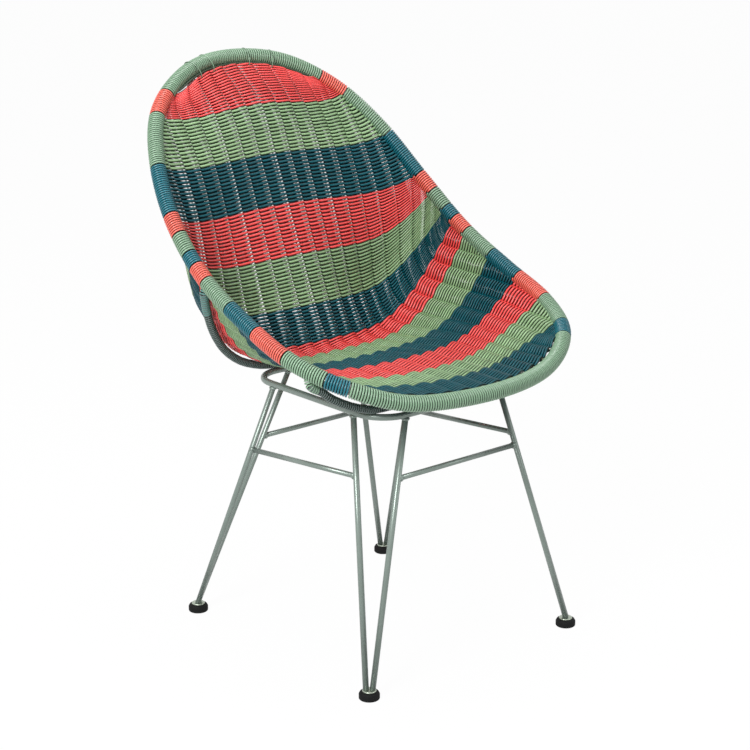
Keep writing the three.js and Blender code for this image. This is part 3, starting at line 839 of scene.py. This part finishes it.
for shift, centre in runs:
    made = bmesh.ops.extrude_edge_only(work, edges=openEnd)
    openEnd = [e for e in made["geom"] if isinstance(e, bmesh.types.BMEdge)]
    verts = [v for v in made["geom"] if isinstance(v, bmesh.types.BMVert)]
    bmesh.ops.translate(work, vec=shift, verts=verts)
    made = bmesh.ops.spin(work, geom=openEnd, cent=(*centre, base["ringHeight"]), axis=(0, 0, 1),
                          angle=math.pi / 2, steps=10)
    openEnd = [e for e in made["geom_last"] if isinstance(e, bmesh.types.BMEdge)]
finishPiece("baseRing", meshFrom(work, "baseRing"), "paint", "frame_paint", ["base_ring"])

rods = {}
for side, sx in (("left", 1), ("right", -1)):
    fx, fy = base["frontFoot"]
    rx, ry = base["rearFoot"]
    low, high, spread = base["rodBottom"], base["rodTop"], base["rodSpread"]
    rods[f"front_{side}_leg_side_rod"] = ((sx * fx, fy + spread, low),
                                          (sx * base["ringHalfWidth"], base["frontRodTop"][1], high))
    rods[f"front_{side}_leg_front_rod"] = ((sx * (fx - spread), fy, low),
                                           (sx * base["frontRodTop"][0], base["ringFront"], high))
    rods[f"rear_{side}_leg_side_rod"] = ((sx * rx, ry - spread, low),
                                         (sx * base["ringHalfWidth"], base["rearRodTop"][1], high))
    rods[f"rear_{side}_leg_rear_rod"] = ((sx * (rx - spread), ry, low),
                                         (sx * base["rearRodTop"][0], base["ringRear"], high))


def pieceName(node):
    words = node.split("_")
    return words[0] + "".join(word.capitalize() for word in words[1:])


for node, (foot, top) in rods.items():
    work = bmesh.new()
    addRod(work, foot, top, base["rodRadius"], level=True)
    finishPiece(pieceName(node), meshFrom(work, node), "paint", "frame_paint", [node])


def onRod(node, height):
    foot, top = (Vector(p) for p in rods[node])
    return foot.lerp(top, (height - base["rodBottom"]) / (base["rodTop"] - base["rodBottom"]))


beads = []
frontHeight, rearHeight = base["frontStretcherHeight"], base["rearStretcherHeight"]
for node, first, firstHeight, second, secondHeight in (
    ("front_stretcher", "front_left_leg_front_rod", frontHeight, "front_right_leg_front_rod", frontHeight),
    ("rear_stretcher", "rear_left_leg_rear_rod", rearHeight, "rear_right_leg_rear_rod", rearHeight),
    ("left_stretcher", "front_left_leg_side_rod", frontHeight, "rear_left_leg_side_rod", rearHeight),
    ("right_stretcher", "front_right_leg_side_rod", frontHeight, "rear_right_leg_side_rod", rearHeight),
):
    start, end = onRod(first, firstHeight), onRod(second, secondHeight)
    heading = (end - start).normalized()
    gap, inset = heading * base["stretcherGap"], heading * base["beadInset"]
    work = bmesh.new()
    addRod(work, start + gap, end - gap, base["stretcherRadius"])
    finishPiece(pieceName(node), meshFrom(work, node), "paint", "frame_paint", [node])
    turn = heading.to_track_quat("Z", "Y").to_matrix().to_4x4()
    beads += [(start + inset, turn, base["stretcherBead"]), (end - inset, turn, base["stretcherBead"])]
beads += [(Vector(top) - Vector((0, 0, base["rodBeadDrop"])), Matrix.Identity(4), base["rodBead"])
          for foot, top in rods.values()]

work = bmesh.new()
for centre, turn, size in beads:
    made = bmesh.ops.create_uvsphere(work, u_segments=14, v_segments=8, radius=base["beadRadius"])
    bmesh.ops.transform(work, matrix=Matrix.Translation(centre) @ turn @ Matrix.Diagonal(size),
                        verts=made["verts"])
finishPiece("weldBeads", meshFrom(work, "weldBeads"), "paint", "frame_paint")
print("base made")

feet = {
    "padRadius": 0.0155,
    "padHeight": 0.0114,
    "discRadius": 0.0105,
    "discHeight": 0.0024,
    "padProfile": [(0, 0), (0.93, 0), (1, 0.12), (1, 0.7), (0.88, 1), (0.5, 1), (0, 1)],
    "discProfile": [(0, 0), (1, 0), (1, 0.7), (0.92, 1), (0, 1)],
    "padEdge": 0.0006,
    "discEdge": 0.0003,
    "discLift": 0.0003,
    "sharpAngle": 0.5,
}


def turnedMesh(name, profile, radius, height, centre, lift, edge):
    # a profile turned about its axis, with its sharp edges eased
    work = bmesh.new()
    verts = [work.verts.new((r * radius, 0, z * height + lift)) for r, z in profile]
    edges = [work.edges.new(pair) for pair in zip(verts, verts[1:])]
    bmesh.ops.spin(work, geom=verts + edges, cent=(0, 0, 0), axis=(0, 0, 1), angle=2 * math.pi, steps=32,
                   use_merge=True)
    bmesh.ops.remove_doubles(work, verts=work.verts, dist=1e-6)
    bmesh.ops.recalc_face_normals(work, faces=work.faces)
    sharp = [e for e in work.edges if e.is_manifold and e.calc_face_angle() > feet["sharpAngle"]]
    bmesh.ops.bevel(work, geom=sharp, offset=edge, offset_type="OFFSET", segments=2, profile=0.5,
                    affect="EDGES", material=-1)
    bmesh.ops.translate(work, vec=centre, verts=work.verts)
    return meshFrom(work, name)


for side, sx in (("left", 1), ("right", -1)):
    for end, (x, y), back in (("front", base["frontFoot"], 1), ("rear", base["rearFoot"], -1)):
        half = base["rodSpread"] / 2
        centre = (sx * (x - half), y + back * half, 0)
        pad = f"{end}_{side}_foot_pad"
        disc = f"{end}_{side}_foot_disc"
        padMesh = turnedMesh(pad, feet["padProfile"], feet["padRadius"], feet["padHeight"], centre, 0,
                             feet["padEdge"])
        discMesh = turnedMesh(disc, feet["discProfile"], feet["discRadius"], feet["discHeight"], centre,
                              feet["padHeight"] + feet["discLift"], feet["discEdge"])
        finishPiece(pieceName(pad), padMesh, "rubber", "foot_rubber", [pad])
        finishPiece(pieceName(disc), discMesh, "disc", "foot_disc", [disc])
print("feet made")

for node in ("rim_core", "rear_hoop_core", "front_hoop_core"):
    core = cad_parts[node]
    core.data.materials.clear()
    core.data.materials.append(materials["steel"])

# floor, light and camera
studio = {
    "floorSize": 30,
    "paper": (0.86, 0.86, 0.86, 1),
    "paperRoughness": 0.9,
    "floorSeen": 0.97,
    "white": (1, 1, 1, 1),
    "softColour": (0.95, 0.97, 1, 1),
    "softPower": 0.32,
}


def seenBackground(wire):
    # 1 for the rays that show the background: camera, glossy and transmission
    rays = wire.node("ShaderNodeLightPath")
    direct = wire.maths("MAXIMUM", wire.out(rays, 0), wire.out(rays, 3))
    return wire.maths("MAXIMUM", direct, wire.out(rays, 6))


work = bmesh.new()
bmesh.ops.create_grid(work, x_segments=1, y_segments=1, size=studio["floorSize"])
floorMesh = meshFrom(work, "floor", smooth=False)
floor = bpy.data.objects.new("floor", floorMesh)
bpy.context.scene.collection.objects.link(floor)
floorMaterial = bpy.data.materials.new("floorPaper")
floorMaterial.use_nodes = True
tree = floorMaterial.node_tree
wire = Wire(tree, None)
paper = tree.nodes["Principled BSDF"]
paper.inputs["Base Color"].default_value = studio["paper"]
paper.inputs["Roughness"].default_value = studio["paperRoughness"]
paper.inputs["Specular IOR Level"].default_value = 0.0
glow = wire.node("ShaderNodeEmission", None, Color=studio["white"], Strength=1.0)
seen = seenBackground(wire) * studio["floorSeen"]
blend = wire.node("ShaderNodeMixShader", None, i0=seen, i1=wire.out(paper), i2=wire.out(glow))
tree.links.new(blend.outputs[0], tree.nodes["Material Output"].inputs["Surface"])
floorMesh.materials.append(floorMaterial)

world = bpy.data.worlds.new("studio")
world.use_nodes = True
bpy.context.scene.world = world
tree = world.node_tree
wire = Wire(tree, None)
tree.nodes.clear()
bright = wire.node("ShaderNodeBackground", None, Color=studio["white"], Strength=1.0)
soft = wire.node("ShaderNodeBackground", None, Color=studio["softColour"], Strength=studio["softPower"])
blend = wire.node("ShaderNodeMixShader", None, i0=seenBackground(wire), i1=wire.out(soft), i2=wire.out(bright))
wire.node("ShaderNodeOutputWorld", None, Surface=wire.out(blend))


def addLamp(name, place, target, size, power):
    lamp = bpy.data.lights.new(name, "AREA")
    lamp.shape = "RECTANGLE"
    lamp.size, lamp.size_y = size
    lamp.energy = power
    holder = bpy.data.objects.new(name, lamp)
    holder.location = place
    holder.rotation_euler = (Vector(target) - Vector(place)).to_track_quat("-Z", "Y").to_euler()
    bpy.context.scene.collection.objects.link(holder)


addLamp("keyLamp", (-2.6, -0.9, 2.3), (0, 0, 0.45), (1.2, 1.6), 115)
addLamp("sideLamp", (1.6, -2.4, 1.6), (0, 0, 0.45), (1.2, 1.8), 15)
addLamp("topLamp", (0.2, 0.2, 2.8), (0, 0, 0.4), (1.6, 1.6), 34)

# angles in degrees, lens and sensor in millimetres
view = {"place": (-2.0125, -2.3669, 1.3103), "yaw": -40.9697, "pitch": 16.5198, "lens": 100.19, "sensor": 36}
camera = bpy.data.cameras.new("camera")
camera.lens = view["lens"]
camera.sensor_width = view["sensor"]
camera.sensor_fit = "HORIZONTAL"
eye = bpy.data.objects.new("camera", camera)
eye.location = view["place"]
eye.rotation_euler = (math.radians(90 - view["pitch"]), 0, math.radians(view["yaw"]))
bpy.context.scene.collection.objects.link(eye)
bpy.context.scene.camera = eye
bpy.context.scene.view_settings.view_transform = "Standard"
print("stage set")
